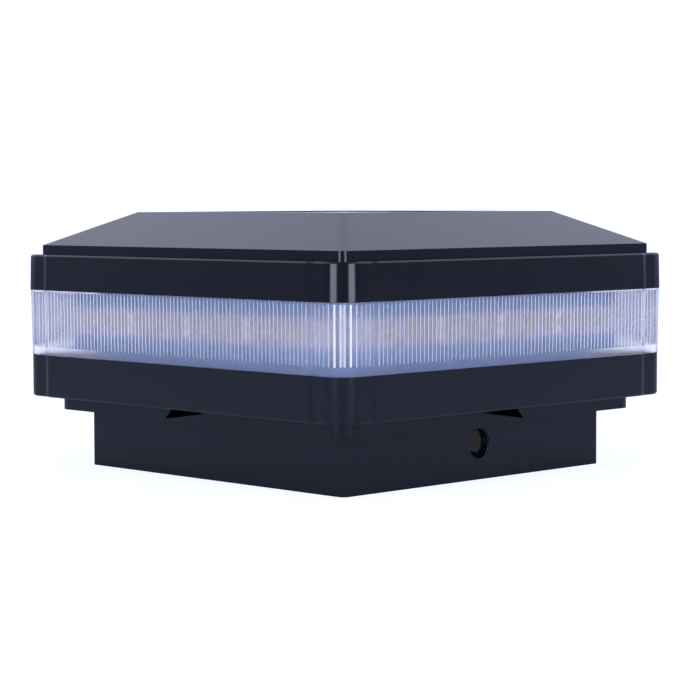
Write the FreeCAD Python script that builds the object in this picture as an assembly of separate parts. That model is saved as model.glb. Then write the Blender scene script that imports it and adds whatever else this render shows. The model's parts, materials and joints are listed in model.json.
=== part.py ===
import FreeCAD, Part
import math
import os
from FreeCAD import Rotation, Vector

# Solar deck post cap light. A square skirt slips over the top of a post and
# carries a flange, a lower housing, a clear ribbed lens ring, an upper housing
# and a low pyramid roof whose flat top holds the solar panel. The light comes
# from a strip wrapped round a core inside the lens, and the battery is
# reached from inside the post socket.
#
# Millimetres. The origin is the centre of the skirt's lower edge, +Z is up,
# and the set screw hole is in the +X wall.

# ---- Driving dimensions ----------------------------------------------------

# Post socket
post_side = 88.9                # finished face of a nominal 4 x 4 post
post_gap = 0.55                 # clearance on each side of the post
skirt_wall = 2.85
skirt_height = 15.0
skirt_corner_radius = 1.6
ceiling_thickness = 2.2
stop_depth = 2.5                # how far the post stops stand below the ceiling
stop_leg = 12.0                 # leg of each triangular post stop
set_hole_radius = 3.85
set_hole_height = 9.13

# Flange under the lower housing
flange_reach = 6.45             # from the skirt's face to the flange's face
flange_height = 3.7
flange_corner_radius = 4.7
notch_depth = 6.0               # release notch cut into each flange face
notch_far_end = 9.6             # from mid face to the notch's lower point
notch_tip = 13.4                # from mid face to where the notch runs out
notch_slant = 3.3               # lean of the notch's steep end
notch_sill = 0.3                # flange left under the notch's lower point

# Housings and their shared outline
body_half = 61.35               # widest point, at the upper housing's lower edge
lower_setback = 0.5             # the lower housing stands this far inside that
upper_draft = 0.2
edge_break = 0.4                # small bevel on outer edges
corner_radius = 6.3
corner_flat = 3.6               # flat stretch before each arc, parallel to the face
corner_step = 0.45              # how far the corners lie behind the faces
facet_run = 1.7                 # slanted facet that leads down to the corner
lower_height = 11.0
upper_height = 9.3
housing_wall = 2.6
floor_thickness = 2.2
deck_thickness = 2.2
deck_opening_half = 33.5

# Lens ring
lens_height = 17.15
lens_setback = 0.2              # lens top stands back from the upper housing
lens_draft = 0.25
lens_wall = 2.1                 # at the rib crests
rib_pitch = 1.39
rib_depth = 0.6
plain_band = 2.2                # smooth band below the ribs
top_band = 0.5                  # smooth band above the ribs

# Lens seals
seal_inset = 0.75               # from the lower housing's face to the groove
seal_width = 1.0
seal_height = 1.0               # also the depth of its groove
seal_gap = 0.05                 # on each side of a seal in its groove

# Roof
roof_half = 57.25
roof_corner_radius = 2.0
roof_rim_height = 2.45
roof_rise = 8.65                # from the rim to the flat top
plateau_half = 39.4
roof_wall = 2.2
pocket_half = 35.4              # panel pocket in the flat top
pocket_depth = 2.3
pocket_floor = 1.8
pocket_corner_radius = 1.5
lead_hole_radius = 2.0
hook_gap = 0.2                  # round each snap hook
hook_thickness = 1.6
hook_width = 8.0
hook_nose = 1.0
hook_offset = 18.0              # from mid side to each hook
roof_seal_inset = 0.6
roof_seal_width = 1.2
roof_seal_height = 0.8

# Solar panel
panel_gap = 0.2                 # round the panel in its pocket
panel_seal_width = 4.0
panel_seal_height = 0.3
panel_board_thickness = 1.2
cell_thickness = 0.25
cell_columns = 2
cell_rows = 6
cell_gap = 0.7
cell_margin = 1.6               # bare board outside the cells
cover_thickness = 0.6

# Light core and strip
core_half = 47.0
core_radius = 4.0
core_wall = 1.6
core_gap = 0.15                 # between the core and its locating ribs
locator_length = 30.0           # rib in the middle of each side
locator_width = 1.2
locator_height = 2.0
strip_centre_height = 38.9
strip_width = 7.5
strip_thickness = 0.35
strip_gap = 0.05
strip_slot_length = 6.0         # lead slot through the core wall
strip_slot_height = 3.0
chip_length = 3.5
chip_height = 2.8
chip_depth = 0.8
chips_per_side = 12
chip_pitch = 7.3
resistor_length = 1.6
resistor_height = 0.85
resistor_depth = 0.5
chips_per_resistor = 3
resistor_drop = 2.6             # below the row of light chips

# Battery bay
bay_centre_y = -20.0
cell_radius = 9.2
cell_length = 65.0
terminal_radius = 3.2
terminal_height = 1.4
cell_side_gap = 0.4
cell_lift = 0.5                 # cell above the socket's ceiling
spring_space = 3.6              # room for the spring contact
plate_space = 0.8               # room for the plate contact
tray_wall = 1.6
tray_ear = 8.0
tray_ear_thickness = 2.4
contact_thickness = 0.4
contact_width = 8.0
contact_half_height = 6.0
contact_button_radius = 2.0

# Battery door
door_thickness = 1.8
door_end = 7.5                  # plate beyond the bay at each end
door_side = 4.0                 # plate beyond the bay at each side
door_corner_radius = 3.0
door_plug_gap = 0.3
door_plug_wall = 1.2
door_plug_height = 3.6
door_seal_width = 1.9
door_seal_height = 0.6
door_screw_offset = 4.0         # from the bay's end to the screw

# Switch
switch_x = 28.0
switch_y = 12.0
switch_length = 14.0
switch_width = 6.4
switch_height = 5.2
switch_travel = 4.0
knob_length = 4.0
knob_width = 3.6
knob_height = 3.2
knob_drop = 1.4                 # knob below the socket's ceiling
stem_length = 2.4
stem_width = 2.0
switch_gap = 0.3
knob_ridges = 3
ridge_size = 0.5

# Control board
board_x = -8.0
board_y = 18.0
board_length = 44.0
board_width = 30.0
board_thickness = 1.6
board_lift = 5.0
board_hole_inset = 3.5
chip_body = (6.0, 5.0, 1.6)
chip_place = (-6.0, 3.0)
chip_pins = 4                   # on each of two sides
pin_size = (0.9, 0.4, 0.3)
inductor_half = 4.0
inductor_height = 4.5
inductor_chamfer = 1.6
inductor_place = (6.0, 3.5)
capacitor_radius = 3.15
capacitor_height = 7.0
capacitor_place = (14.0, 4.0)
connector_size = (6.0, 4.5, 6.0)
connector_wall = 0.8
connector_places = ((-11.0, -9.5), (0.0, -9.5), (11.0, -9.5))

# Screws
boss_wall = 2.0
screw_fit = 0.05                # round each shank
head_clearance = 0.3            # round each sunk head
post_screw_gap = 1.45           # from the core's inside to each screw post
base_screw_x = 30.0
base_screw_gap = 2.75           # from the socket's wall to each base screw's head
m3_shank = 1.45
m3_head = 2.75
m3_head_height = 2.0
m25_shank = 1.2
m25_head = 2.25
m25_head_height = 1.0
fastener_sides = 10
drive_width = 0.7               # cross recess in the heads that show
drive_depth = 0.6
housing_screw_length = 20.0
base_screw_length = 8.5
board_screw_length = 5.0
tray_screw_length = 5.5
tip_space = 0.8                 # hole left beyond a screw's tip
lower_boss_height = 5.9

hidden_corner_flats = 3         # flats for each hidden corner arc
cut_margin = 1.0                # how far a cutting solid runs past a face

# ---- Sizes that follow from them -------------------------------------------

socket_half = post_side / 2 + post_gap
skirt_half = socket_half + skirt_wall
flange_half = skirt_half + flange_reach
lower_half = body_half - lower_setback
lens_top_half = body_half - lens_setback
lens_bottom_half = lens_top_half - lens_draft
corner_centre = body_half - corner_step - corner_radius
step_place = corner_centre - corner_flat

z_housing = skirt_height + flange_height
z_ceiling = z_housing - ceiling_thickness
z_stop = z_ceiling - stop_depth
z_floor = z_housing + floor_thickness
z_lens = z_housing + lower_height
z_upper = z_lens + lens_height
z_roof = z_upper + upper_height
z_deck = z_roof - deck_thickness
z_slope = z_roof + roof_rim_height
z_plateau = z_slope + roof_rise
z_boss = z_floor + lower_boss_height

seal_half = lower_half - seal_inset

bay_length = cell_length + spring_space + plate_space
bay_width = 2 * (cell_radius + cell_side_gap)
cell_axis_z = z_ceiling + cell_lift + cell_radius
tray_top = cell_axis_z + cell_radius + cell_side_gap + tray_wall
door_screw_x = bay_length / 2 + door_screw_offset
tray_screw_depth = tray_screw_length - tray_ear_thickness + tip_space
tray_pad_height = max(0.0, tray_screw_depth - floor_thickness + boss_wall / 2)
tray_ear_y = bay_width / 2 + tray_wall + tray_ear / 2
z_board = z_floor + board_lift
z_board_top = z_board + board_thickness
pocket_bottom = z_plateau - pocket_depth
panel_half = pocket_half - panel_gap
strip_face = core_half + strip_gap + strip_thickness
core_cavity_half = core_half - core_wall
m3_boss = m3_shank + boss_wall
m25_boss = m25_shank + boss_wall
post_screw_place = core_cavity_half - post_screw_gap - m3_boss
base_screw_y = socket_half - base_screw_gap - m3_head

UP = Vector(0, 0, 1)
ALONG_X = Vector(1, 0, 0)


# ---- Shape helpers ---------------------------------------------------------

def rounded_rectangle(half_x, half_y, radius, z, y=0.0):
    """Outline of a rectangle with rounded corners, centred on (0, y)."""
    diagonal = radius * math.sqrt(0.5)
    corners = []
    for turn_x, turn_y in ((1, 1), (-1, 1), (-1, -1), (1, -1)):
        centre = Vector(turn_x * (half_x - radius), y + turn_y * (half_y - radius), z)
        along_x = centre + Vector(turn_x * radius, 0, 0)
        along_y = centre + Vector(0, turn_y * radius, 0)
        middle = centre + Vector(turn_x * diagonal, turn_y * diagonal, 0)
        first, last = (along_x, along_y) if turn_x == turn_y else (along_y, along_x)
        corners.append((first, middle, last))
    edges = []
    for index, (first, middle, last) in enumerate(corners):
        following = corners[(index + 1) % 4][0]
        edges.append(Part.Arc(first, middle, last).toShape())
        edges.append(Part.makeLine(last, following))
    return edges


def rounded_square(half, radius, z):
    return rounded_rectangle(half, half, radius, z)


def housing_outline(half, z):
    """Shared outline: flat faces, and a small facet down to each set-back corner."""
    face = half - corner_step
    radius = face - corner_centre
    diagonal = corner_centre + radius * math.sqrt(0.5)
    edges = []
    for quarter in range(4):
        turn = Rotation(UP, 90 * quarter)
        flat_start = turn.multVec(Vector(half, facet_run - step_place, 0))
        flat_end = turn.multVec(Vector(half, step_place - facet_run, 0))
        step_end = turn.multVec(Vector(face, step_place, 0))
        arc_start = turn.multVec(Vector(face, corner_centre, 0))
        arc_middle = turn.multVec(Vector(diagonal, diagonal, 0))
        arc_end = turn.multVec(Vector(corner_centre, face, 0))
        next_step = turn.multVec(Vector(step_place, face, 0))
        next_flat = turn.multVec(Vector(step_place - facet_run, half, 0))
        edges.append(Part.makeLine(flat_start, flat_end))
        edges.append(Part.makeLine(flat_end, step_end))
        edges.append(Part.makeLine(step_end, arc_start))
        edges.append(Part.Arc(arc_start, arc_middle, arc_end).toShape())
        edges.append(Part.makeLine(arc_end, next_step))
        edges.append(Part.makeLine(next_step, next_flat))
    return [edge.translated(Vector(0, 0, z)) for edge in edges]


def rib_outline(crest_half, z):
    """Zigzag outline that touches crest_half and reaches rib_depth beyond it."""
    side_count = round(2 * corner_centre / rib_pitch)
    side_pitch = 2 * corner_centre / side_count
    crest_radius = crest_half - corner_centre
    corner_count = max(1, round(math.pi / 2 * crest_radius / rib_pitch))
    points = []
    for quarter in range(4):
        turn = Rotation(UP, 90 * quarter)
        for rib in range(side_count):
            crest_y = -corner_centre + rib * side_pitch
            points.append(turn.multVec(Vector(crest_half, crest_y, z)))
            groove = Vector(crest_half + rib_depth, crest_y + side_pitch / 2, z)
            points.append(turn.multVec(groove))
        for rib in range(corner_count):
            for reach, place in ((0.0, rib), (rib_depth, rib + 0.5)):
                angle = math.pi / 2 * place / corner_count
                radius = crest_radius + reach
                x = corner_centre + radius * math.cos(angle)
                y = corner_centre + radius * math.sin(angle)
                points.append(turn.multVec(Vector(x, y, z)))
    return polygon(points)


def polygon(points):
    """Closed outline of straight edges."""
    return [Part.makeLine(start, end) for start, end in zip(points, points[1:] + points[:1])]


def square_outline(half, z):
    return polygon([Vector(half, -half, z), Vector(half, half, z),
                    Vector(-half, half, z), Vector(-half, -half, z)])


def faceted_square(half, radius, z):
    """Rounded square with a few flats for each corner arc, for hidden edges."""
    points = []
    for quarter in range(4):
        turn = Rotation(UP, 90 * quarter)
        for step in range(hidden_corner_flats + 1):
            angle = math.pi / 2 * step / hidden_corner_flats
            x = half - radius + radius * math.cos(angle)
            y = half - radius + radius * math.sin(angle)
            points.append(turn.multVec(Vector(x, y, z)))
    return polygon(points)


def hidden_outline(half, z):
    """Inner outline whose corners share the housing's corner centres."""
    return faceted_square(half, half - corner_centre, z)


def flat_face(outline):
    return Part.Face(Part.Wire(outline))


def prism(outline, height):
    return flat_face(outline).extrude(Vector(0, 0, height))


def loft(outlines):
    """Solid with straight sides through outlines that have matching edges."""
    faces = [flat_face(outlines[0]), flat_face(outlines[-1])]
    for lower, upper in zip(outlines, outlines[1:]):
        for below, above in zip(lower, upper):
            if below.Curve.TypeId == "Part::GeomLine":
                low_ends = [vertex.Point for vertex in below.Vertexes]
                high_ends = [vertex.Point for vertex in above.Vertexes]
                faces.append(flat_face(polygon(low_ends + high_ends[::-1])))
            else:
                faces.append(Part.makeRuledSurface(below, above))
    shell = Part.Shell(faces)
    solid = Part.Solid(shell)
    if solid.Volume < 0:
        solid.reverse()
    return solid


def block(low, high):
    """Box between two corners."""
    size = [high[axis] - low[axis] for axis in range(3)]
    return Part.makeBox(size[0], size[1], size[2], Vector(*low))


def centred_block(x, y, z, length, width, height):
    """Box centred on (x, y) that stands on z."""
    corner = Vector(x - length / 2, y - width / 2, z)
    return Part.makeBox(length, width, height, corner)


def rod(x, y, z, radius, height):
    return Part.makeCylinder(radius, height, Vector(x, y, z))


def fastener_rod(x, y, z, radius, height):
    """Many-sided rod for screws, bosses and their holes, which repeat a lot."""
    points = []
    for side in range(fastener_sides):
        angle = 2 * math.pi * side / fastener_sides
        points.append(Vector(x + radius * math.cos(angle), y + radius * math.sin(angle), z))
    return prism(polygon(points), height)


def union(shapes):
    first = shapes[0]
    if len(shapes) == 1:
        return first
    return first.fuse(shapes[1:]).removeSplitter()


def subtract(shape, cutters):
    return shape.cut(union(cutters))


def ring(outer, inner, height):
    return prism(outer, height).cut(prism(inner, height))


def group(solids):
    """Separate solids kept in one file."""
    return Part.makeCompound(solids)


def four_corners(place_x, place_y):
    return [(sx * place_x, sy * place_y) for sx in (-1, 1) for sy in (-1, 1)]


def screw(x, y, z, head, shank, upward=True, recess=False):
    """Screw whose head seats at z; the shank runs up, or down."""
    head_radius, head_height = head
    shank_radius, length = shank
    top = fastener_rod(0, 0, -head_height, head_radius, head_height)
    body = union([top, fastener_rod(0, 0, 0, shank_radius, length)])
    if recess:
        bar = centred_block(0, 0, -head_height - cut_margin, head_radius, drive_width,
                            cut_margin + drive_depth)
        body = subtract(body, [bar, bar.rotated(Vector(0, 0, 0), UP, 90)])
    if not upward:
        body = body.rotated(Vector(0, 0, 0), ALONG_X, 180)
    return body.translated(Vector(x, y, z))


def bent_strip(path, thickness, width, y):
    """Sheet metal strip bent along a path of (x, z) points, on the left side."""
    offset = []
    for index in range(len(path)):
        before = path[max(index - 1, 0)]
        after = path[min(index + 1, len(path) - 1)]
        here = path[index]
        normals = []
        for start, end in ((before, here), (here, after)):
            run = Vector(end[0] - start[0], 0, end[1] - start[1])
            if run.Length > 0:
                run.normalize()
                normals.append(Vector(-run.z, 0, run.x))
        middle = normals[0] + normals[-1]
        middle.normalize()
        reach = thickness / middle.dot(normals[0])
        offset.append(Vector(here[0], 0, here[1]) + middle * reach)
    points = [Vector(px, 0, pz) for px, pz in path] + offset[::-1]
    strip = flat_face(polygon(points)).extrude(Vector(0, width, 0))
    return strip.translated(Vector(0, y - width / 2, 0))


def bay_opening(z, height, inset=0.0):
    """Rectangular way through the floor and ceiling to the battery."""
    return centred_block(0, bay_centre_y, z, bay_length - 2 * inset,
                         bay_width - 2 * inset, height)


def switch_window(z, height):
    """Slot that the knob slides in."""
    length = knob_length + switch_travel + 2 * switch_gap
    return centred_block(switch_x + switch_travel / 2, switch_y, z, length,
                         knob_width + 2 * switch_gap, height)


# ---- Skirt and base plate --------------------------------------------------

def release_notches():
    """Tapered notch in each flange face, in mirrored pairs."""
    z_low = skirt_height + notch_sill
    rise = z_housing - z_low
    margin_x = cut_margin * notch_slant / rise
    margin_tip = cut_margin * (notch_far_end + notch_tip) / rise
    z_over = z_housing + cut_margin
    outline = [
        Vector(-notch_far_end, 0, z_low),
        Vector(-notch_far_end + notch_slant + margin_x, 0, z_over),
        Vector(notch_tip + margin_tip, 0, z_over),
    ]
    notch = flat_face(polygon(outline)).extrude(Vector(0, notch_depth + cut_margin, 0))
    notch.translate(Vector(0, -flange_half - cut_margin, 0))
    mirrored = notch.mirror(Vector(0, 0, 0), Vector(1, 1, 0))
    pair = [notch, mirrored]
    return pair + [shape.rotated(Vector(0, 0, 0), UP, 180) for shape in pair]


def post_stops():
    """Triangular stop in each corner of the socket, where the post ends."""
    stops = []
    for sx, sy in four_corners(1, 1):
        corner = Vector(sx * skirt_half, sy * skirt_half, z_stop)
        reach = stop_leg + skirt_wall
        points = [corner, corner - Vector(sx * reach, 0, 0), corner - Vector(0, sy * reach, 0)]
        stops.append(prism(polygon(points), stop_depth))
    inside = prism(rounded_square(socket_half, skirt_corner_radius, z_stop), stop_depth)
    return [stop.common(inside) for stop in stops]


def post_skirt():
    """Square sleeve that goes over the post, open at both ends."""
    sleeve = ring(rounded_square(skirt_half, skirt_corner_radius, 0),
                  rounded_square(socket_half, skirt_corner_radius, 0), skirt_height)
    set_hole = Part.makeCylinder(set_hole_radius, skirt_wall + 2 * cut_margin,
                                 Vector(socket_half - cut_margin, 0, set_hole_height), ALONG_X)
    return sleeve.cut(set_hole)


def base_plate():
    """Flange and socket ceiling in one, with the post stops under it."""
    plate = prism(rounded_square(flange_half, flange_corner_radius, skirt_height), flange_height)
    recess = prism(rounded_square(socket_half, skirt_corner_radius, skirt_height - cut_margin),
                   z_ceiling - skirt_height + cut_margin)
    body = union([plate.cut(recess)] + post_stops())
    through = ceiling_thickness + 2 * cut_margin
    below = z_ceiling - cut_margin
    cutters = release_notches() + [bay_opening(below, through), switch_window(below, through)]
    for x, y in four_corners(base_screw_x, base_screw_y):
        cutters.append(fastener_rod(x, y, below, m3_shank + screw_fit, through))
    for side in (-1, 1):
        cutters.append(fastener_rod(side * door_screw_x, bay_centre_y, below,
                                    m25_shank + screw_fit, through))
    return subtract(body, cutters)


# ---- Lower housing ---------------------------------------------------------

def core_locators(z):
    """Short ribs that keep the foot or head of the light core in place."""
    reach = core_cavity_half - core_gap
    rib = block((reach - locator_width, -locator_length / 2, z),
                (reach, locator_length / 2, z + locator_height))
    return [rib.rotated(Vector(0, 0, 0), UP, 90 * quarter) for quarter in range(4)]


def board_hole_places():
    inset_x = board_length / 2 - board_hole_inset
    inset_y = board_width / 2 - board_hole_inset
    return [(board_x + x, board_y + y) for x, y in four_corners(inset_x, inset_y)]


def lower_housing():
    outer = loft([
        housing_outline(lower_half - edge_break, z_housing),
        housing_outline(lower_half, z_housing + edge_break),
        housing_outline(lower_half, z_lens),
    ])
    cavity = prism(hidden_outline(lower_half - housing_wall, z_floor),
                   z_lens - z_floor + cut_margin)
    additions = [outer.cut(cavity)] + core_locators(z_floor)
    cutters = [seal_groove(z_lens - seal_height)]
    boss_height = z_boss - z_floor
    head_seat = m3_head_height + head_clearance
    for x, y in four_corners(post_screw_place, post_screw_place):
        additions.append(fastener_rod(x, y, z_floor, m3_head + boss_wall / 2, boss_height))
        cutters.append(fastener_rod(x, y, z_housing - cut_margin, m3_head + head_clearance,
                                    head_seat + cut_margin))
        cutters.append(fastener_rod(x, y, z_housing, m3_shank + screw_fit,
                                    z_boss - z_housing + cut_margin))
    thread_height = z_ceiling + base_screw_length + tip_space - z_housing
    for x, y in four_corners(base_screw_x, base_screw_y):
        additions.append(fastener_rod(x, y, z_floor, m3_boss, boss_height))
        cutters.append(fastener_rod(x, y, z_housing - cut_margin, m3_shank + screw_fit,
                                    thread_height + cut_margin))
    for x, y in board_hole_places():
        additions.append(fastener_rod(x, y, z_floor, m25_boss, board_lift))
        cutters.append(fastener_rod(x, y, z_board - board_screw_length, m25_shank + screw_fit,
                                    board_screw_length + cut_margin))
    for side in (-1, 1):
        y = bay_centre_y + side * tray_ear_y
        additions.append(fastener_rod(0, y, z_floor - cut_margin / 2, m25_boss,
                                      tray_pad_height + cut_margin / 2))
        cutters.append(fastener_rod(0, y, z_floor + tray_pad_height - tray_screw_depth,
                                    m25_shank + screw_fit, tray_screw_depth + cut_margin))
    through = floor_thickness + 2 * cut_margin
    cutters.append(bay_opening(z_housing - cut_margin, through))
    cutters.append(switch_window(z_housing - cut_margin, through))
    return subtract(union(additions), cutters)


def seal_groove(z):
    outer = seal_half + seal_gap
    inner = seal_half - seal_width - seal_gap
    return ring(hidden_outline(outer, z), hidden_outline(inner, z), seal_height)


def lens_seal(z):
    return ring(hidden_outline(seal_half, z), hidden_outline(seal_half - seal_width, z), seal_height)


# ---- Lens ring -------------------------------------------------------------

def lens_ring():
    outer = loft([
        housing_outline(lens_bottom_half, z_lens),
        housing_outline(lens_top_half, z_upper),
    ])
    crest_half = lens_bottom_half - lens_wall
    plain = prism(rounded_square(crest_half, crest_half - corner_centre, z_lens - cut_margin),
                  lens_height + 2 * cut_margin)
    grooves_z = z_lens + plain_band
    grooves = prism(rib_outline(crest_half, grooves_z), lens_height - plain_band - top_band)
    return outer.cut(plain).cut(grooves)


# ---- Upper housing ---------------------------------------------------------

def upper_housing():
    top_half = body_half - upper_draft
    outer = loft([
        housing_outline(body_half, z_upper),
        housing_outline(top_half, z_roof - edge_break),
        housing_outline(top_half - edge_break, z_roof),
    ])
    cavity = prism(hidden_outline(lower_half - housing_wall, z_upper - cut_margin),
                   z_deck - z_upper + cut_margin)
    opening = centred_block(0, 0, z_deck - cut_margin, 2 * deck_opening_half,
                            2 * deck_opening_half, deck_thickness + 2 * cut_margin)
    additions = [outer.cut(cavity)] + core_locators(z_deck - locator_height)
    cutters = [opening, seal_groove(z_upper), roof_seal_ring(z_roof - roof_seal_height, seal_gap)]
    thread_top = z_housing + m3_head_height + head_clearance + housing_screw_length + tip_space
    for x, y in four_corners(post_screw_place, post_screw_place):
        additions.append(fastener_rod(x, y, z_boss, m3_boss, z_deck - z_boss))
        cutters.append(fastener_rod(x, y, z_boss - cut_margin, m3_shank + screw_fit,
                                    thread_top - z_boss + cut_margin))
    return subtract(union(additions), cutters)


def roof_seal_ring(z, gap=0.0):
    outer = roof_half - roof_seal_inset
    inner = outer - roof_seal_width
    radius = roof_corner_radius
    return ring(faceted_square(outer + gap, radius, z),
                faceted_square(inner - gap, radius - roof_seal_width, z), roof_seal_height)


# ---- Roof ------------------------------------------------------------------

def roof_hooks(z_root):
    """Snap hooks that reach down through the deck opening and under its edge."""
    outer = deck_opening_half - hook_gap
    inner = outer - hook_thickness
    z_catch = z_deck - hook_gap / 2
    z_tip = z_catch - hook_nose * 2
    profile = [
        Vector(inner, 0, z_root), Vector(inner, 0, z_tip), Vector(outer, 0, z_tip),
        Vector(outer + hook_nose, 0, z_catch - hook_nose / 2),
        Vector(outer + hook_nose, 0, z_catch), Vector(outer, 0, z_catch),
        Vector(outer, 0, z_root),
    ]
    hook = flat_face(polygon(profile)).extrude(Vector(0, hook_width, 0))
    hooks = []
    for quarter in range(4):
        for side in (-1, 1):
            placed = hook.translated(Vector(0, side * hook_offset - hook_width / 2, 0))
            hooks.append(placed.rotated(Vector(0, 0, 0), UP, 90 * quarter))
    return hooks


def roof_cap():
    slope = roof_rise / (roof_half - plateau_half)
    rim = prism(rounded_square(roof_half, roof_corner_radius, z_roof), roof_rim_height)
    hip = loft([
        rounded_square(roof_half, roof_corner_radius, z_slope),
        rounded_square(plateau_half, roof_corner_radius, z_plateau),
    ])
    drop = roof_wall * math.sqrt(1 + slope * slope)
    cavity_half = roof_half - roof_wall
    cavity_shoulder = z_slope + roof_wall * slope - drop
    cavity_top = pocket_bottom - pocket_floor
    cavity_top_half = roof_half - (cavity_top + drop - z_slope) / slope
    cavity = loft([
        square_outline(cavity_half, z_roof - cut_margin),
        square_outline(cavity_half, cavity_shoulder),
        square_outline(cavity_top_half, cavity_top),
    ])
    shell = union([rim, hip]).cut(cavity)
    pocket = prism(rounded_square(pocket_half, pocket_corner_radius, pocket_bottom),
                   pocket_depth + cut_margin)
    lead_hole = rod(0, 0, cavity_top - cut_margin, lead_hole_radius,
                    pocket_floor + 2 * cut_margin)
    return subtract(union([shell] + roof_hooks(cavity_top)), [pocket, lead_hole])


# ---- Solar panel -----------------------------------------------------------

def panel_seal():
    half = panel_half - pocket_corner_radius
    return ring(square_outline(half, pocket_bottom),
                square_outline(half - panel_seal_width, pocket_bottom), panel_seal_height)


def panel_board():
    outline = faceted_square(panel_half, pocket_corner_radius, pocket_bottom + panel_seal_height)
    return prism(outline, panel_board_thickness)


def solar_cells():
    z = pocket_bottom + panel_seal_height + panel_board_thickness
    field = 2 * (panel_half - cell_margin)
    length = (field - (cell_columns - 1) * cell_gap) / cell_columns
    width = (field - (cell_rows - 1) * cell_gap) / cell_rows
    cells = []
    for column in range(cell_columns):
        for row in range(cell_rows):
            x = -field / 2 + length / 2 + column * (length + cell_gap)
            y = -field / 2 + width / 2 + row * (width + cell_gap)
            cells.append(centred_block(x, y, z, length, width, cell_thickness))
    return group(cells)


def panel_cover():
    """Clear cover; its underside is recessed over the cells."""
    z = pocket_bottom + panel_seal_height + panel_board_thickness
    cover = prism(rounded_square(panel_half, pocket_corner_radius, z), cover_thickness)
    field = 2 * (panel_half - cell_margin)
    return cover.cut(centred_block(0, 0, z, field, field, cell_thickness))


# ---- Light core and strip --------------------------------------------------

def led_core():
    height = z_deck - z_floor
    core = ring(rounded_square(core_half, core_radius, z_floor),
                faceted_square(core_cavity_half, core_radius - core_wall, z_floor), height)
    slot_x = -core_half + core_wall / 2
    slot = centred_block(slot_x, 0, strip_centre_height - strip_width / 2 - strip_slot_height,
                         core_wall + 2 * cut_margin, strip_slot_length, strip_slot_height)
    return core.cut(slot)


def led_strip():
    inner = core_half + strip_gap
    radius = core_radius + strip_gap
    z = strip_centre_height - strip_width / 2
    return ring(rounded_square(inner + strip_thickness, radius + strip_thickness, z),
                rounded_square(inner, radius, z), strip_width)


def strip_parts(length, height, depth, places, z):
    """Small blocks on the strip's outer face, repeated on four sides."""
    parts = []
    for quarter in range(4):
        for place in places:
            part = block((strip_face, place - length / 2, z - height / 2),
                         (strip_face + depth, place + length / 2, z + height / 2))
            parts.append(part.rotated(Vector(0, 0, 0), UP, 90 * quarter))
    return group(parts)


def chip_places():
    first = -(chips_per_side - 1) / 2
    return [(first + index) * chip_pitch for index in range(chips_per_side)]


def led_chips():
    return strip_parts(chip_length, chip_height, chip_depth, chip_places(), strip_centre_height)


def strip_resistors():
    places = [place + chip_pitch / 2 for place in chip_places()[::chips_per_resistor]]
    return strip_parts(resistor_length, resistor_height, resistor_depth, places,
                       strip_centre_height - resistor_drop)


# ---- Battery bay -----------------------------------------------------------

def battery_tray():
    length = bay_length + 2 * tray_wall
    width = bay_width + 2 * tray_wall
    box = centred_block(0, bay_centre_y, z_floor, length, width, tray_top - z_floor)
    additions = [box]
    cutters = [bay_opening(z_floor - cut_margin, tray_top - tray_wall - z_floor + cut_margin)]
    for side in (-1, 1):
        y = bay_centre_y + side * tray_ear_y
        ear_inner = bay_centre_y + side * (bay_width / 2 + tray_wall / 2)
        ear_outer = y + side * tray_ear / 2
        z = z_floor + tray_pad_height
        additions.append(block((-tray_ear / 2, min(ear_inner, ear_outer), z),
                               (tray_ear / 2, max(ear_inner, ear_outer), z + tray_ear_thickness)))
        cutters.append(fastener_rod(0, y, z - cut_margin, m25_shank + screw_fit,
                                    tray_ear_thickness + 2 * cut_margin))
    return subtract(union(additions), cutters)


def battery_cell():
    """Cell that lies along X with its raised terminal at +X."""
    start_x = -bay_length / 2 + spring_space
    can_length = cell_length - terminal_height
    can = Part.makeCylinder(cell_radius, can_length,
                            Vector(start_x, bay_centre_y, cell_axis_z), ALONG_X)
    terminal = Part.makeCylinder(terminal_radius, terminal_height,
                                 Vector(start_x + can_length, bay_centre_y, cell_axis_z), ALONG_X)
    return union([can, terminal])


def battery_spring_contact():
    """Leaf folded up from its back plate, which presses on the cell's flat end."""
    wall_x = -bay_length / 2
    cell_x = wall_x + spring_space
    path = [
        (wall_x, cell_axis_z + contact_half_height),
        (wall_x, cell_axis_z - contact_half_height),
        (cell_x, cell_axis_z),
        (cell_x - spring_space / 2, cell_axis_z + contact_half_height / 2),
    ]
    return bent_strip(path, contact_thickness, contact_width, bay_centre_y)


def battery_plate_contact():
    """Flat plate with a raised button for the cell's terminal."""
    wall_x = bay_length / 2
    plate = block((wall_x - contact_thickness, bay_centre_y - contact_width / 2,
                   cell_axis_z - contact_half_height),
                  (wall_x, bay_centre_y + contact_width / 2, cell_axis_z + contact_half_height))
    button = Part.makeCylinder(contact_button_radius, plate_space - contact_thickness,
                               Vector(wall_x - plate_space, bay_centre_y, cell_axis_z), ALONG_X)
    return union([plate, button])


def battery_door():
    plate_top = z_ceiling - door_seal_height
    plate = prism(rounded_rectangle(bay_length / 2 + door_end, bay_width / 2 + door_side,
                                    door_corner_radius, plate_top - door_thickness,
                                    y=bay_centre_y), door_thickness)
    plug_outer = bay_opening(plate_top, door_plug_height, door_plug_gap)
    plug_inner = bay_opening(plate_top, door_plug_height, door_plug_gap + door_plug_wall)
    additions = [plate, plug_outer.cut(plug_inner)]
    cutters = []
    for side in (-1, 1):
        x = side * door_screw_x
        z = plate_top - door_thickness
        cutters.append(fastener_rod(x, bay_centre_y, z - cut_margin, m25_shank + screw_fit,
                                    door_thickness + 2 * cut_margin))
        cutters.append(fastener_rod(x, bay_centre_y, z - cut_margin, m25_head + head_clearance,
                                    m25_head_height + cut_margin))
    return subtract(union(additions), cutters)


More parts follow.
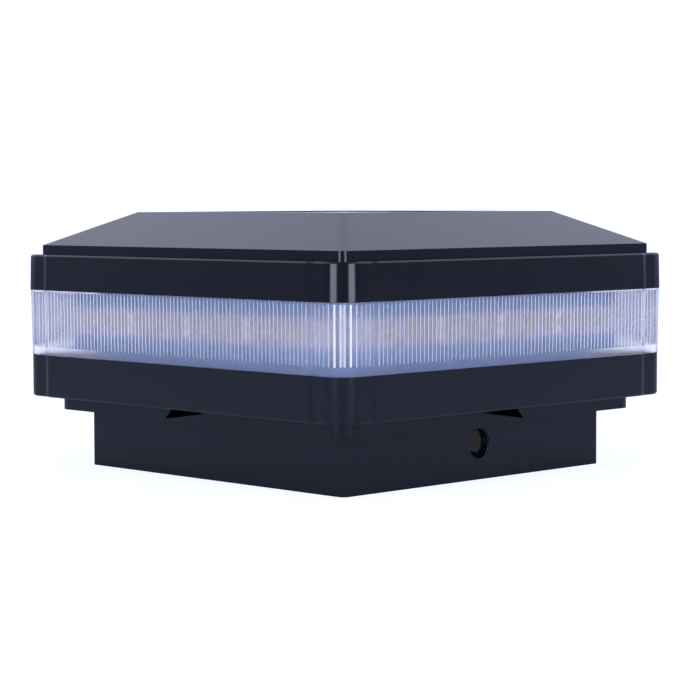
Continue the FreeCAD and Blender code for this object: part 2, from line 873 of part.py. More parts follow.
def door_seal():
    z = z_ceiling - door_seal_height
    inner_x = bay_length / 2
    inner_y = bay_width / 2
    outer = centred_block(0, bay_centre_y, z, 2 * (inner_x + door_seal_width),
                          2 * (inner_y + door_seal_width), door_seal_height)
    return outer.cut(bay_opening(z - cut_margin, door_seal_height + 2 * cut_margin))


# ---- Switch ----------------------------------------------------------------

def switch_body():
    centre_x = switch_x + switch_travel / 2
    case = centred_block(centre_x, switch_y, z_floor, switch_length, switch_width, switch_height)
    slot_length = stem_length + switch_travel + 2 * switch_gap
    slot = centred_block(centre_x, switch_y, z_floor - cut_margin, slot_length,
                         stem_width + 2 * switch_gap, switch_height * 0.6 + cut_margin)
    return case.cut(slot)


def switch_knob():
    knob_low = z_ceiling - knob_drop
    stem_top = z_floor + switch_height * 0.6 - switch_gap
    knob = centred_block(switch_x, switch_y, knob_low, knob_length, knob_width, knob_height)
    stem = centred_block(switch_x, switch_y, knob_low + knob_height, stem_length, stem_width,
                         stem_top - knob_low - knob_height)
    spacing = knob_length / knob_ridges
    ridges = []
    for index in range(knob_ridges):
        x = switch_x + (index - (knob_ridges - 1) / 2) * spacing
        ridges.append(centred_block(x, switch_y, knob_low - ridge_size, ridge_size,
                                    knob_width, ridge_size))
    return union([knob, stem] + ridges)


# ---- Control board ---------------------------------------------------------

def control_board():
    board = centred_block(board_x, board_y, z_board, board_length, board_width, board_thickness)
    holes = []
    for x, y in board_hole_places():
        holes.append(fastener_rod(x, y, z_board - cut_margin, m25_shank + screw_fit,
                                  board_thickness + 2 * cut_margin))
    return subtract(board, holes)


def control_chip():
    x = board_x + chip_place[0]
    y = board_y + chip_place[1]
    length, width, height = chip_body
    pin_reach, pin_width, pin_height = pin_size
    parts = [centred_block(x, y, z_board_top, length, width, height)]
    pitch = length / chip_pins
    for side in (-1, 1):
        for pin in range(chip_pins):
            pin_x = x + (pin - (chip_pins - 1) / 2) * pitch
            pin_y = y + side * (width / 2 + pin_reach / 2)
            parts.append(centred_block(pin_x, pin_y, z_board_top, pin_width, pin_reach,
                                       pin_height))
    return union(parts)


def power_inductor():
    """Shielded inductor: a square block with cut corners."""
    x = board_x + inductor_place[0]
    y = board_y + inductor_place[1]
    short = inductor_half - inductor_chamfer
    points = []
    for quarter in range(4):
        turn = Rotation(UP, 90 * quarter)
        for corner in (Vector(inductor_half, short, 0), Vector(short, inductor_half, 0)):
            points.append(Vector(x, y, z_board_top) + turn.multVec(corner))
    return prism(polygon(points), inductor_height)


def smoothing_capacitor():
    x = board_x + capacitor_place[0]
    y = board_y + capacitor_place[1]
    return rod(x, y, z_board_top, capacitor_radius, capacitor_height)


def board_connectors():
    """Open-topped sockets for the panel, battery and strip leads."""
    length, width, height = connector_size
    sockets = []
    for place_x, place_y in connector_places:
        x = board_x + place_x
        y = board_y + place_y
        shell = centred_block(x, y, z_board_top, length, width, height)
        well = centred_block(x, y, z_board_top + connector_wall,
                             length - 2 * connector_wall, width - 2 * connector_wall, height)
        sockets.append(shell.cut(well))
    return group(sockets)


# ---- Screws ----------------------------------------------------------------

def base_screws():
    return group([screw(x, y, z_ceiling, (m3_head, m3_head_height),
                        (m3_shank, base_screw_length), recess=True)
                  for x, y in four_corners(base_screw_x, base_screw_y)])


def housing_screws():
    seat = z_housing + m3_head_height + head_clearance
    return group([screw(x, y, seat, (m3_head, m3_head_height),
                        (m3_shank, housing_screw_length))
                  for x, y in four_corners(post_screw_place, post_screw_place)])


def board_screws():
    return group([screw(x, y, z_board_top, (m25_head, m25_head_height),
                        (m25_shank, board_screw_length), upward=False)
                  for x, y in board_hole_places()])


def tray_screws():
    seat = z_floor + tray_pad_height + tray_ear_thickness
    return group([screw(0, bay_centre_y + side * tray_ear_y, seat,
                        (m25_head, m25_head_height), (m25_shank, tray_screw_length),
                        upward=False)
                  for side in (-1, 1)])


def door_screws():
    seat = z_ceiling - door_seal_height - door_thickness + m25_head_height
    length = z_housing - seat
    return group([screw(side * door_screw_x, bay_centre_y, seat,
                        (m25_head, m25_head_height), (m25_shank, length - seal_gap),
                        recess=True)
                  for side in (-1, 1)])


# ---- Build -----------------------------------------------------------------

PIECES = {
    "post_skirt": post_skirt,
    "base_plate": base_plate,
    "lower_housing": lower_housing,
    "lower_lens_seal": lambda: lens_seal(z_lens - seal_height),
    "lens_ring": lens_ring,
    "upper_lens_seal": lambda: lens_seal(z_upper),
    "upper_housing": upper_housing,
    "roof_seal": lambda: roof_seal_ring(z_roof - roof_seal_height),
    "roof_cap": roof_cap,
    "panel_seal": panel_seal,
    "panel_board": panel_board,
    "solar_cells": solar_cells,
    "panel_cover": panel_cover,
    "led_core": led_core,
    "led_strip": led_strip,
    "led_chips": led_chips,
    "strip_resistors": strip_resistors,
    "battery_tray": battery_tray,
    "battery_cell": battery_cell,
    "battery_spring_contact": battery_spring_contact,
    "battery_plate_contact": battery_plate_contact,
    "battery_door": battery_door,
    "door_seal": door_seal,
    "door_screws": door_screws,
    "switch_body": switch_body,
    "switch_knob": switch_knob,
    "control_board": control_board,
    "control_chip": control_chip,
    "power_inductor": power_inductor,
    "smoothing_capacitor": smoothing_capacitor,
    "board_connectors": board_connectors,
    "base_screws": base_screws,
    "housing_screws": housing_screws,
    "board_screws": board_screws,
    "tray_screws": tray_screws,
}

os.makedirs("parts", exist_ok=True)
for name, make in PIECES.items():
    shape = make()
    print(name, "solids", len(shape.Solids), "volume", round(shape.Volume, 1),
          "valid", shape.isValid())
    shape.exportStep(f"parts/{name}.step")
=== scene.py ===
import bpy
import json
import math
from mathutils import Matrix, Vector


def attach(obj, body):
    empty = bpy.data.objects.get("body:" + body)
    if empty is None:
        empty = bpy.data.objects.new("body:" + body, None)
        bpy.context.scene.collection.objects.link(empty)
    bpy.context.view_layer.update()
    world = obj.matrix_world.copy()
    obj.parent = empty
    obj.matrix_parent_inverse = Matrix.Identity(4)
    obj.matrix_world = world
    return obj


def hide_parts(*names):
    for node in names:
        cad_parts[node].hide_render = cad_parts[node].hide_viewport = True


# Looks for the deck post cap light: materials for the CAD nodes, small details
# that the solids leave out, a pale floor, soft light and the photograph's camera.

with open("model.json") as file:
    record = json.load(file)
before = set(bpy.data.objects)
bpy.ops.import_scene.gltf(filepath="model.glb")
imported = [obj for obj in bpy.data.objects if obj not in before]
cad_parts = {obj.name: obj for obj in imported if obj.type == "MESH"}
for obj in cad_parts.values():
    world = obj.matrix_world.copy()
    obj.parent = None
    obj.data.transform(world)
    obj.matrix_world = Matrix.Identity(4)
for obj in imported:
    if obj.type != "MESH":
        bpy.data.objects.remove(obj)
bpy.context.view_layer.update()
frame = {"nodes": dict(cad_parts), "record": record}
nodes = frame["nodes"]

MM = 0.001

# ---- Camera, as solved from the photograph ---------------------------------

CAMERA_AZIMUTH = 45.344         # degrees; 0 looks along +Y
CAMERA_DISTANCE = 583.92 * MM   # from the post's axis
CAMERA_HEIGHT = 70.125 * MM
CAMERA_YAW = -0.124
CAMERA_PITCH = 3.628            # downward
CAMERA_ROLL = -0.183
SENSOR = 36.0
LENS = 116.41

# ---- Sizes that the details share with the solids ---------------------------

SKIRT_INNER = 45.0
SET_HOLE_Z = 9.13
SET_HOLE_RADIUS = 3.85
STRIP_FACE = 47.4
CHIP_FACE = 48.2
STRIP_Z = 38.9
CHIP_PITCH = 7.3
CHIPS_PER_SIDE = 12
CELL_COLUMNS = 2
CELL_ROWS = 6
CELL_FIELD = 67.2               # width of the whole field of solar cells
CELL_GAP = 0.7
CELL_LOW = 66.45
CELL_HIGH = 66.64               # just under the cover, so that light gets between them


# ---- Node helpers ------------------------------------------------------------

def principled(name, colour, roughness, **sockets):
    """New material; returns (material, tree, principled shader)."""
    material = bpy.data.materials.new(name)
    material.use_nodes = True
    tree = material.node_tree
    shader = tree.nodes["Principled BSDF"]
    shader.inputs["Base Color"].default_value = (*colour, 1.0)
    shader.inputs["Roughness"].default_value = roughness
    for socket, value in sockets.items():
        shader.inputs[socket.replace("_", " ")].default_value = value
    material.diffuse_color = (*colour, 1.0)
    return material, tree, shader


def noise(tree, scale, detail=3.0, roughness=0.5, stretch=(1.0, 1.0, 1.0)):
    """Noise over the piece's own coordinates; scale is in cycles per metre."""
    place = tree.nodes.new("ShaderNodeTexCoord")
    spread = tree.nodes.new("ShaderNodeMapping")
    spread.inputs["Scale"].default_value = stretch
    texture = tree.nodes.new("ShaderNodeTexNoise")
    texture.inputs["Scale"].default_value = scale
    texture.inputs["Detail"].default_value = detail
    texture.inputs["Roughness"].default_value = roughness
    tree.links.new(place.outputs["Object"], spread.inputs["Vector"])
    tree.links.new(spread.outputs["Vector"], texture.inputs["Vector"])
    return texture.outputs["Fac"]


def ramp(tree, value, low, high, start=0.3, end=0.7):
    """Maps a 0..1 value between two numbers."""
    node = tree.nodes.new("ShaderNodeMapRange")
    node.inputs["From Min"].default_value = start
    node.inputs["From Max"].default_value = end
    node.inputs["To Min"].default_value = low
    node.inputs["To Max"].default_value = high
    tree.links.new(value, node.inputs["Value"])
    return node.outputs["Result"]


def blend_colours(tree, value, first, second):
    node = tree.nodes.new("ShaderNodeMix")
    node.data_type = "RGBA"
    node.inputs[6].default_value = (*first, 1.0)
    node.inputs[7].default_value = (*second, 1.0)
    tree.links.new(value, node.inputs[0])
    return node.outputs[2]


def calculate(tree, operation, first, second):
    """Math node on a socket and on another socket or a number."""
    node = tree.nodes.new("ShaderNodeMath")
    node.operation = operation
    tree.links.new(first, node.inputs[0])
    if isinstance(second, (int, float)):
        node.inputs[1].default_value = second
    else:
        tree.links.new(second, node.inputs[1])
    return node.outputs["Value"]


def soft_edges(tree, radius):
    """Rounds the look of sharp edges, so that they catch the light."""
    node = tree.nodes.new("ShaderNodeBevel")
    node.samples = 6
    node.inputs["Radius"].default_value = radius
    return node.outputs["Normal"]


def bump(tree, height, strength, distance, normal=None):
    node = tree.nodes.new("ShaderNodeBump")
    node.inputs["Strength"].default_value = strength
    node.inputs["Distance"].default_value = distance
    tree.links.new(height, node.inputs["Height"])
    if normal is not None:
        tree.links.new(normal, node.inputs["Normal"])
    return node.outputs["Normal"]


# ---- Materials ---------------------------------------------------------------

def moulded_plastic(name, colour, other, roughness, grain, wave=0.0, edge=0.0, **sockets):
    """Moulded plastic: faint mottling, uneven gloss, fine grain and slow waves."""
    material, tree, shader = principled(name, colour, roughness, **sockets)
    mottle = noise(tree, 180.0, 4.0, 0.6)
    tint = blend_colours(tree, ramp(tree, mottle, 0.0, 1.0), colour, other)
    tree.links.new(tint, shader.inputs["Base Color"])
    patches = noise(tree, 60.0, 3.0, 0.55)
    gloss = ramp(tree, patches, roughness * 0.85, roughness * 1.2)
    tree.links.new(gloss, shader.inputs["Roughness"])
    rounded = soft_edges(tree, edge) if edge else None
    normal = bump(tree, noise(tree, 3200.0, 2.0), grain, 0.02 * MM, rounded)
    if wave:
        normal = bump(tree, noise(tree, 22.0, 1.0), wave, 0.4 * MM, normal)
    tree.links.new(normal, shader.inputs["Normal"])
    return material


def faces_outwards(tree):
    """Above 0 on faces that look away from the post's axis, below 0 on the others."""
    place = tree.nodes.new("ShaderNodeTexCoord")
    across = tree.nodes.new("ShaderNodeVectorMath")
    across.operation = "MULTIPLY"
    across.inputs[1].default_value = (1.0, 1.0, 0.0)
    tree.links.new(place.outputs["Object"], across.inputs[0])
    surface = tree.nodes.new("ShaderNodeNewGeometry")
    lean = tree.nodes.new("ShaderNodeVectorMath")
    lean.operation = "DOT_PRODUCT"
    tree.links.new(surface.outputs["Normal"], lean.inputs[0])
    tree.links.new(across.outputs["Vector"], lean.inputs[1])
    # The normal is turned round where a ray meets the surface from inside.
    turned = ramp(tree, surface.outputs["Backfacing"], 1.0, -1.0, 0.0, 1.0)
    return calculate(tree, "MULTIPLY", lean.outputs["Value"], turned)


def clear_plastic(name, colour, roughness, inner_roughness=None):
    """Clear plastic; its inner faces can be less polished than its outer ones."""
    material, tree, shader = principled(name, colour, roughness, Transmission_Weight=1.0, IOR=1.49)
    if inner_roughness is not None:
        polish = ramp(tree, faces_outwards(tree), inner_roughness, roughness, -MM, MM)
        tree.links.new(polish, shader.inputs["Roughness"])
    normal = bump(tree, noise(tree, 40.0, 2.0), 0.05, 0.3 * MM)
    tree.links.new(normal, shader.inputs["Normal"])
    return material


def metal(name, colour, roughness, stretch=(1.0, 1.0, 12.0)):
    """Plated or bare metal with fine brushed streaks."""
    material, tree, shader = principled(name, colour, roughness, Metallic=1.0)
    streaks = noise(tree, 900.0, 3.0, 0.6, stretch)
    gloss = ramp(tree, streaks, roughness * 0.8, roughness * 1.35)
    tree.links.new(gloss, shader.inputs["Roughness"])
    tree.links.new(bump(tree, streaks, 0.08, 0.01 * MM), shader.inputs["Normal"])
    return material


def circuit_board(name):
    """Solder mask over copper tracks."""
    material, tree, shader = principled(name, (0.012, 0.11, 0.045), 0.32)
    place = tree.nodes.new("ShaderNodeTexCoord")
    tracks = tree.nodes.new("ShaderNodeTexVoronoi")
    tracks.distance = "MANHATTAN"
    tracks.feature = "DISTANCE_TO_EDGE"
    tracks.inputs["Scale"].default_value = 260.0
    tree.links.new(place.outputs["Object"], tracks.inputs["Vector"])
    lines = ramp(tree, tracks.outputs["Distance"], 1.0, 0.0, 0.08, 0.12)
    tint = blend_colours(tree, lines, (0.012, 0.11, 0.045), (0.03, 0.21, 0.08))
    tree.links.new(tint, shader.inputs["Base Color"])
    tree.links.new(bump(tree, lines, 0.4, 0.03 * MM), shader.inputs["Normal"])
    return material


def solar_cell(name):
    """Dark blue crystal cells with fine silver fingers across them."""
    material, tree, shader = principled(name, (0.006, 0.012, 0.05), 0.22)
    place = tree.nodes.new("ShaderNodeTexCoord")
    grains = tree.nodes.new("ShaderNodeTexVoronoi")
    grains.inputs["Scale"].default_value = 240.0
    tree.links.new(place.outputs["Object"], grains.inputs["Vector"])
    crystal = blend_colours(tree, grains.outputs["Distance"],
                            (0.004, 0.01, 0.05), (0.012, 0.028, 0.12))
    split = tree.nodes.new("ShaderNodeSeparateXYZ")
    tree.links.new(place.outputs["Object"], split.inputs["Vector"])
    fingers = tree.nodes.new("ShaderNodeMath")
    fingers.operation = "PINGPONG"
    fingers.inputs[1].default_value = 0.8 * MM
    tree.links.new(split.outputs["X"], fingers.inputs[0])
    line = ramp(tree, fingers.outputs["Value"], 1.0, 0.0, 0.05 * MM, 0.08 * MM)
    shade = tree.nodes.new("ShaderNodeMix")
    shade.data_type = "RGBA"
    shade.inputs[7].default_value = (0.35, 0.37, 0.4, 1.0)
    tree.links.new(line, shade.inputs[0])
    tree.links.new(crystal, shade.inputs[6])
    tree.links.new(shade.outputs[2], shader.inputs["Base Color"])
    return material


BLACK = (0.004, 0.0046, 0.0085)
BLACK_MOTTLE = (0.0052, 0.0058, 0.0105)

MATERIALS = {
    "black_shell": moulded_plastic("black_shell", BLACK, BLACK_MOTTLE, 0.14, 0.05, 0.02,
                                   0.12 * MM),
    "clear_lens": clear_plastic("clear_lens", (0.95, 0.97, 1.0), 0.08, 0.3),
    "seal_rubber": moulded_plastic("seal_rubber", (0.012, 0.012, 0.012), (0.02, 0.02, 0.02),
                                   0.62, 0.3),
    "board_green": circuit_board("board_green"),
    "cell_blue": solar_cell("cell_blue"),
    "core_white": moulded_plastic("core_white", (0.44, 0.62, 0.97), (0.47, 0.65, 1.0), 0.45, 0.1),
    "strip_white": moulded_plastic("strip_white", (0.96, 0.88, 0.98), (0.99, 0.91, 1.0), 0.5, 0.1),
    "chip_yellow": moulded_plastic("chip_yellow", (0.85, 0.84, 0.8), (0.8, 0.79, 0.76), 0.35, 0.05),
    "component_black": moulded_plastic("component_black", (0.015, 0.015, 0.016),
                                       (0.022, 0.022, 0.023), 0.45, 0.25),
    "capacitor_can": metal("capacitor_can", (0.62, 0.62, 0.64), 0.28),
    "connector_white": moulded_plastic("connector_white", (0.72, 0.7, 0.64), (0.76, 0.74, 0.69),
                                       0.42, 0.1),
    "knob_white": moulded_plastic("knob_white", (0.62, 0.62, 0.62), (0.68, 0.68, 0.68), 0.4, 0.1),
    "inner_black": moulded_plastic("inner_black", (0.008, 0.008, 0.009), (0.012, 0.012, 0.013),
                                   0.38, 0.3),
    "cell_wrap": moulded_plastic("cell_wrap", (0.02, 0.09, 0.3), (0.025, 0.1, 0.33), 0.25, 0.05),
    "contact_steel": metal("contact_steel", (0.66, 0.63, 0.56), 0.24),
    "screw_steel": metal("screw_steel", (0.52, 0.52, 0.54), 0.26),
}

# The panel's cover is polished all over, and the strip's resistors are pale.
NODE_MATERIALS = {
    "panel_cover": clear_plastic("panel_cover", (0.95, 0.97, 1.0), 0.04),
    "strip_resistors": moulded_plastic("pale_resistor", (0.5, 0.47, 0.55), (0.55, 0.52, 0.6),
                                       0.45, 0.1),
}

for entry in frame["record"]["subparts"]:
    piece = nodes[entry["node"]]
    for holder in piece.material_slots:
        holder.material = NODE_MATERIALS.get(entry["node"], MATERIALS[entry["material_slot"]])


# ---- Details that the solids leave out ---------------------------------------

def new_piece(name, vertices, faces, material, slot, body="housing"):
    mesh = bpy.data.meshes.new(name)
    mesh.from_pydata([[value * MM for value in vertex] for vertex in vertices], [], faces)
    mesh.update()
    piece = bpy.data.objects.new(name, mesh)
    bpy.context.scene.collection.objects.link(piece)
    mesh.materials.append(material)
    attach(piece, body)
    return piece


def set_hole_thread():
    """Thread ridge that winds round inside the set screw hole."""
    pitch = 1.05
    turns = 2.5
    ridge = 0.5
    steps_per_turn = 40
    fade_steps = 8
    steps = int(turns * steps_per_turn)
    start_x = SKIRT_INNER + 0.12
    flank = SET_HOLE_RADIUS - 0.01
    root = SET_HOLE_RADIUS + 0.02
    vertices, faces = [], []
    for step in range(steps + 1):
        angle = 2 * math.pi * step / steps_per_turn
        x = start_x + pitch * step / steps_per_turn
        fade = min(1.0, step / fade_steps, (steps - step) / fade_steps)
        crest = SET_HOLE_RADIUS - ridge * fade
        profile = ((0.0, flank), (pitch / 8, crest), (pitch / 4, flank), (pitch / 8, root))
        for along, radius in profile:
            vertices.append((x + along, radius * math.sin(angle),
                             SET_HOLE_Z + radius * math.cos(angle)))
        if step:
            base = 4 * step
            for side in range(4):
                near, far = side, (side + 1) % 4
                faces.append((base - 4 + near, base - 4 + far, base + far, base + near))
    faces.append((0, 1, 2, 3))
    faces.append(tuple(reversed(range(4 * steps, 4 * steps + 4))))
    piece = new_piece("set_hole_thread", vertices, faces, MATERIALS["black_shell"], "black_shell")
    for polygon in piece.data.polygons:
        polygon.use_smooth = True


def quarter_turns(make):
    """Vertices and faces of one side's shapes, repeated on the four sides."""
    vertices, faces = [], []
    side_vertices, side_faces = make()
    for quarter in range(4):
        turn = Matrix.Rotation(math.radians(90 * quarter), 3, "Z")
        start = len(vertices)
        vertices += [tuple(turn @ Vector(vertex)) for vertex in side_vertices]
        faces += [tuple(start + index for index in face) for face in side_faces]
    return vertices, faces


def chip_phosphor():
    """Slightly domed pale window in the face of each light chip."""
    points = 16
    rings = ((1.12, -0.02), (1.05, 0.03), (0.6, 0.055))     # radius and lift of each ring

    def side():
        vertices, faces = [], []
        for index in range(CHIPS_PER_SIDE):
            y = (index - (CHIPS_PER_SIDE - 1) / 2) * CHIP_PITCH
            start = len(vertices)
            for radius, lift in rings:
                for step in range(points):
                    angle = 2 * math.pi * step / points
                    vertices.append((CHIP_FACE + lift, y + radius * math.cos(angle),
                                     STRIP_Z + radius * math.sin(angle)))
            for ring in range(len(rings) - 1):
                low = start + points * ring
                for step in range(points):
                    after = (step + 1) % points
                    faces.append((low + step, low + after, low + points + after,
                                  low + points + step))
            top = start + points * (len(rings) - 1)
            faces.append(tuple(top + step for step in range(points)))
            faces.append(tuple(start + step for step in reversed(range(points))))
        return vertices, faces

    phosphor = moulded_plastic("phosphor", (0.92, 0.82, 0.55), (0.95, 0.86, 0.6), 0.3, 0.1)
    new_piece("chip_phosphor", *quarter_turns(side), phosphor, "chip_yellow")


def plates(boxes):
    """Vertices and faces of thin boxes, each given by two corners."""
    vertices, faces = [], []
    for low, high in boxes:
        start = len(vertices)
        for x in (low[0], high[0]):
            for y in (low[1], high[1]):
                for z in (low[2], high[2]):
                    vertices.append((x, y, z))
        for face in ((0, 1, 3, 2), (4, 6, 7, 5), (0, 4, 5, 1), (2, 3, 7, 6), (0, 2, 6, 4),
                     (1, 5, 7, 3)):
            faces.append(tuple(start + index for index in face))
    return vertices, faces


def strip_pads():
    """Tinned cutting pads between every third chip, and each chip's solder."""
    sunk = 0.02
    solder_place, solder_width, solder_half_height, solder_lift = 1.95, 0.6, 1.0, 0.12
    pad_place, pad_half_width, pad_half_height, pad_lift = 1.6, 0.9, 0.8, 0.04
    chips_per_cut = 3

    def side():
        boxes = []
        for index in range(CHIPS_PER_SIDE):
            y = (index - (CHIPS_PER_SIDE - 1) / 2) * CHIP_PITCH
            for end in (-1, 1):
                low = y + end * solder_place - solder_width / 2
                boxes.append(((STRIP_FACE - sunk, low, STRIP_Z - solder_half_height),
                              (STRIP_FACE + solder_lift, low + solder_width,
                               STRIP_Z + solder_half_height)))
            if index % chips_per_cut == 0 and index:
                middle = y - CHIP_PITCH / 2
                for z in (STRIP_Z - pad_place, STRIP_Z + pad_place):
                    boxes.append(((STRIP_FACE - sunk, middle - pad_half_width,
                                   z - pad_half_height),
                                  (STRIP_FACE + pad_lift, middle + pad_half_width,
                                   z + pad_half_height)))
        return plates(boxes)

    tinned = metal("tinned_pads", (0.9, 0.84, 0.8), 0.4)
    new_piece("strip_pads", *quarter_turns(side), tinned, "contact_steel")


def cell_places():
    """Half sizes of a solar cell along x and y, and the middle of each cell."""
    half_x = (CELL_FIELD - (CELL_COLUMNS - 1) * CELL_GAP) / CELL_COLUMNS / 2
    half_y = (CELL_FIELD - (CELL_ROWS - 1) * CELL_GAP) / CELL_ROWS / 2
    places = []
    for column in range(CELL_COLUMNS):
        for row in range(CELL_ROWS):
            x = half_x - CELL_FIELD / 2 + column * (2 * half_x + CELL_GAP)
            y = half_y - CELL_FIELD / 2 + row * (2 * half_y + CELL_GAP)
            places.append((x, y))
    return half_x, half_y, places


def cell_wafers():
    """Solar cells with clipped corners, in place of the plain solids."""
    clip = 1.0
    half_x, half_y, places = cell_places()
    outline = ((half_x - clip, half_y), (clip - half_x, half_y), (-half_x, half_y - clip),
               (-half_x, clip - half_y), (clip - half_x, -half_y), (half_x - clip, -half_y),
               (half_x, clip - half_y), (half_x, half_y - clip))
    count = len(outline)
    vertices, faces = [], []
    for x, y in places:
        start = len(vertices)
        for z in (CELL_LOW, CELL_HIGH):
            vertices += [(x + along, y + across, z) for along, across in outline]
        faces.append(tuple(start + index for index in reversed(range(count))))
        faces.append(tuple(start + count + index for index in range(count)))
        for index in range(count):
            after = (index + 1) % count
            faces.append((start + index, start + after, start + count + after,
                          start + count + index))
    piece = new_piece("cell_wafers", vertices, faces, MATERIALS["cell_blue"], "cell_blue")
    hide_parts("solar_cells")


def cell_busbars():
    """Two silver bars along each solar cell."""
    width = 0.6
    end_gap = 0.8
    half_thickness = 0.02
    half_x, half_y, places = cell_places()
    boxes = []
    for x, y in places:
        for middle in (y - half_y / 2, y + half_y / 2):
            boxes.append(((x - half_x + end_gap, middle - width / 2, CELL_HIGH - half_thickness),
                          (x + half_x - end_gap, middle + width / 2,
                           CELL_HIGH + half_thickness)))
    silver = metal("busbar_silver", (0.5, 0.5, 0.52), 0.35)
    new_piece("cell_busbars", *plates(boxes), silver, "contact_steel")


set_hole_thread()
chip_phosphor()
strip_pads()
cell_wafers()
cell_busbars()


# ---- Floor, light and camera --------------------------------------------------

CAMERA_SIDE = Vector((math.sin(math.radians(CAMERA_AZIMUTH)),
                      -math.cos(math.radians(CAMERA_AZIMUTH)), 0.0))

FLOOR_COLOUR = (0.22, 0.24, 0.34)
FLOOR_GLOW = 0.9                # seen directly or through the lens
FLOOR_SHEEN = 0.13              # seen by the object itself
SOCKET_SHEEN = 0.5              # seen by the object inside the skirt
FLOOR_LIGHT = (0.95, 0.97, 1.1, 1.0)
FLOOR_HALF = 40.0
SHEEN_FADE = (0.3, 1.3)         # distances between which the sheen dies away
LENS_VIEW = 1.05                # how bright the surroundings look through the lens
LENS_TINT = (1.04, 1.03, 1.36)

# The world's brightness in reflections, from behind the object to the camera's side.
WORLD_BEHIND = 0.95
WORLD_BETWEEN = ((0.33, 0.8), (0.45, 0.24), (0.62, 0.12))
WORLD_AHEAD = 0.1
WORLD_DIFFUSE = (0.74, 0.8, 0.96, 1.0)

LAMP_AZIMUTH = 38.0             # degrees to each side of the camera
LAMP_RISE = 4.0
LAMP_DISTANCE = 1.3
LAMP_WIDTH = 0.6
LAMP_HEIGHT = 1.1
LAMP_LEVEL = 5.5                # brightness as seen
LAMP_COLOUR = (0.79, 0.84, 1.0)
LAMP_AIM = Vector((0.0, 0.0, 35 * MM))


def pale_floor():
    mesh = bpy.data.meshes.new("floor")
    half = FLOOR_HALF
    corners = [(-half, -half, 0), (half, -half, 0), (half, half, 0), (-half, half, 0)]
    mesh.from_pydata(corners, [], [(0, 1, 2, 3)])
    floor = bpy.data.objects.new("floor", mesh)
    bpy.context.scene.collection.objects.link(floor)
    material, tree, shader = principled("floor", FLOOR_COLOUR, 0.9)
    shader.inputs["Specular IOR Level"].default_value = 0.0
    shader.inputs["Emission Color"].default_value = FLOOR_LIGHT
    rays = tree.nodes.new("ShaderNodeLightPath")
    place = tree.nodes.new("ShaderNodeTexCoord").outputs["Object"]
    reach = tree.nodes.new("ShaderNodeVectorMath")
    reach.operation = "LENGTH"
    tree.links.new(place, reach.inputs[0])
    sheen = ramp(tree, reach.outputs["Value"], FLOOR_SHEEN, 0.0, *SHEEN_FADE)
    through = calculate(tree, "MULTIPLY", rays.outputs["Is Transmission Ray"], LENS_VIEW)
    seen = calculate(tree, "MAXIMUM", rays.outputs["Is Camera Ray"], through)
    glow = calculate(tree, "MAXIMUM", calculate(tree, "MULTIPLY", seen, FLOOR_GLOW), sheen)
    # Painted shade: inside the skirt the camera sees the floor dark, so nothing shows through the
    # set hole.
    split = tree.nodes.new("ShaderNodeSeparateXYZ")
    tree.links.new(place, split.inputs["Vector"])
    across = calculate(tree, "ABSOLUTE", split.outputs["X"], 0.0)
    along = calculate(tree, "ABSOLUTE", split.outputs["Y"], 0.0)
    outside = calculate(tree, "GREATER_THAN", calculate(tree, "MAXIMUM", across, along),
                        (SKIRT_INNER + 1.0) * MM)
    # Painted light: there the floor glows only for the part's own bounced rays, to light the
    # socket.
    bounced = calculate(tree, "MAXIMUM", rays.outputs["Is Glossy Ray"],
                        rays.outputs["Is Diffuse Ray"])
    socket_glow = calculate(tree, "MULTIPLY", bounced, SOCKET_SHEEN)
    level = tree.nodes.new("ShaderNodeMix")
    tree.links.new(outside, level.inputs[0])
    tree.links.new(socket_glow, level.inputs[2])
    tree.links.new(glow, level.inputs[3])
    tree.links.new(level.outputs[0], shader.inputs["Emission Strength"])
    # Clear from below, so that the underside can be looked at.
    side = tree.nodes.new("ShaderNodeNewGeometry")
    clear = tree.nodes.new("ShaderNodeBsdfTransparent")
    choice = tree.nodes.new("ShaderNodeMixShader")
    tree.links.new(side.outputs["Backfacing"], choice.inputs[0])
    tree.links.new(shader.outputs["BSDF"], choice.inputs[1])
    tree.links.new(clear.outputs["BSDF"], choice.inputs[2])
    tree.links.new(choice.outputs["Shader"], tree.nodes["Material Output"].inputs["Surface"])
    mesh.materials.append(material)


def cool(level):
    """Slightly blue light of a given brightness."""
    return (level * 0.94, level * 0.99, level * 1.28, 1.0)


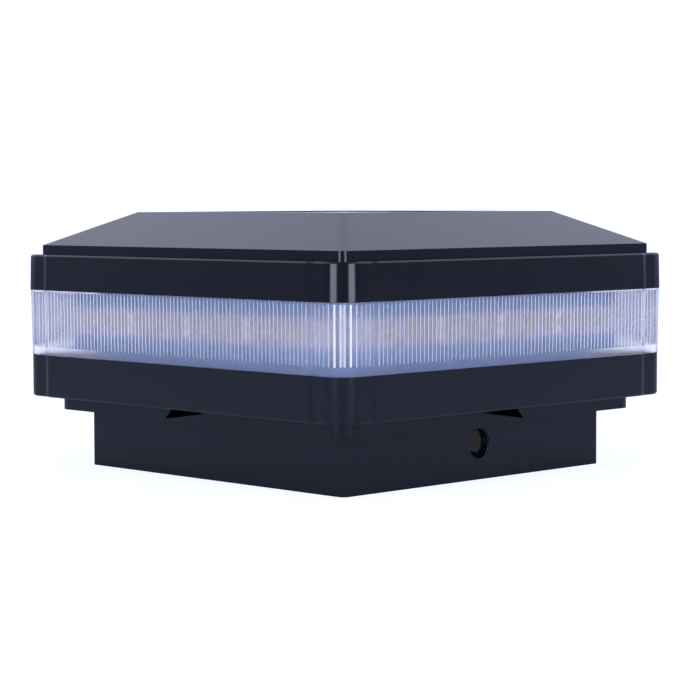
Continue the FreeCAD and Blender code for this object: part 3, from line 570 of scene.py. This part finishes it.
def studio_world():
    """White where it is seen; dimmer towards the camera in reflections."""
    world = bpy.data.worlds.new("studio")
    bpy.context.scene.world = world
    world.use_nodes = True
    tree = world.node_tree
    background = tree.nodes["Background"]
    place = tree.nodes.new("ShaderNodeTexCoord")
    towards = tree.nodes.new("ShaderNodeVectorMath")
    towards.operation = "DOT_PRODUCT"
    towards.inputs[1].default_value = CAMERA_SIDE
    tree.links.new(place.outputs["Generated"], towards.inputs[0])
    shade = tree.nodes.new("ShaderNodeValToRGB")
    stops = shade.color_ramp.elements
    stops[0].position = 0.0
    stops[0].color = cool(WORLD_BEHIND)
    stops[1].position = 1.0
    stops[1].color = cool(WORLD_AHEAD)
    for position, level in WORLD_BETWEEN:
        stops.new(position).color = cool(level)
    spread = tree.nodes.new("ShaderNodeMapRange")
    spread.inputs["From Min"].default_value = -1.0
    tree.links.new(towards.outputs["Value"], spread.inputs["Value"])
    tree.links.new(spread.outputs["Result"], shade.inputs["Fac"])
    rays = tree.nodes.new("ShaderNodeLightPath")
    glossy = tree.nodes.new("ShaderNodeMix")
    glossy.data_type = "RGBA"
    glossy.inputs[6].default_value = WORLD_DIFFUSE
    tree.links.new(rays.outputs["Is Glossy Ray"], glossy.inputs[0])
    tree.links.new(shade.outputs["Color"], glossy.inputs[7])
    through = tree.nodes.new("ShaderNodeMix")
    through.data_type = "RGBA"
    through.inputs[7].default_value = (*(LENS_VIEW * share for share in LENS_TINT), 1.0)
    tree.links.new(rays.outputs["Is Transmission Ray"], through.inputs[0])
    tree.links.new(glossy.outputs[2], through.inputs[6])
    final = tree.nodes.new("ShaderNodeMix")
    final.data_type = "RGBA"
    final.inputs[7].default_value = (1.0, 1.0, 1.0, 1.0)
    tree.links.new(rays.outputs["Is Camera Ray"], final.inputs[0])
    tree.links.new(through.outputs[2], final.inputs[6])
    tree.links.new(final.outputs[2], background.inputs["Color"])
    background.inputs["Strength"].default_value = 1.0


def softbox(name, azimuth):
    """Area light aimed at the object from beside the camera."""
    lamp = bpy.data.lights.new(name, "AREA")
    lamp.shape = "RECTANGLE"
    lamp.size = LAMP_WIDTH
    lamp.size_y = LAMP_HEIGHT
    lamp.energy = LAMP_LEVEL * math.pi * LAMP_WIDTH * LAMP_HEIGHT
    lamp.color = LAMP_COLOUR
    holder = bpy.data.objects.new(name, lamp)
    bpy.context.scene.collection.objects.link(holder)
    turn = math.radians(CAMERA_AZIMUTH + azimuth)
    rise = math.radians(LAMP_RISE)
    back = Vector((math.sin(turn) * math.cos(rise), -math.cos(turn) * math.cos(rise),
                   math.sin(rise)))
    holder.location = back * LAMP_DISTANCE + LAMP_AIM
    holder.visible_transmission = False
    holder.rotation_mode = "QUATERNION"
    holder.rotation_quaternion = (-back).to_track_quat("-Z", "Y")


def photo_camera():
    data = bpy.data.cameras.new("camera")
    data.sensor_width = SENSOR
    data.lens = LENS
    data.clip_start = 0.01
    data.clip_end = 200.0
    camera = bpy.data.objects.new("camera", data)
    bpy.context.scene.collection.objects.link(camera)
    yaw = math.radians(CAMERA_YAW)
    pitch = math.radians(CAMERA_PITCH)
    roll = math.radians(CAMERA_ROLL)
    ahead = Matrix.Rotation(-yaw, 3, "Z") @ -CAMERA_SIDE
    right = Vector((ahead.y, -ahead.x, 0.0))
    forward = math.cos(pitch) * ahead - math.sin(pitch) * Vector((0, 0, 1))
    up = right.cross(forward)
    tilted = math.cos(roll) * right + math.sin(roll) * up
    upward = math.cos(roll) * up - math.sin(roll) * right
    place = Matrix((tilted, upward, -forward)).transposed().to_4x4()
    place.translation = CAMERA_SIDE * CAMERA_DISTANCE + Vector((0, 0, CAMERA_HEIGHT))
    camera.matrix_world = place
    bpy.context.scene.camera = camera


pale_floor()
studio_world()
softbox("softbox_left", -LAMP_AZIMUTH)
softbox("softbox_right", LAMP_AZIMUTH)
photo_camera()
bpy.context.scene.view_settings.view_transform = "Standard"
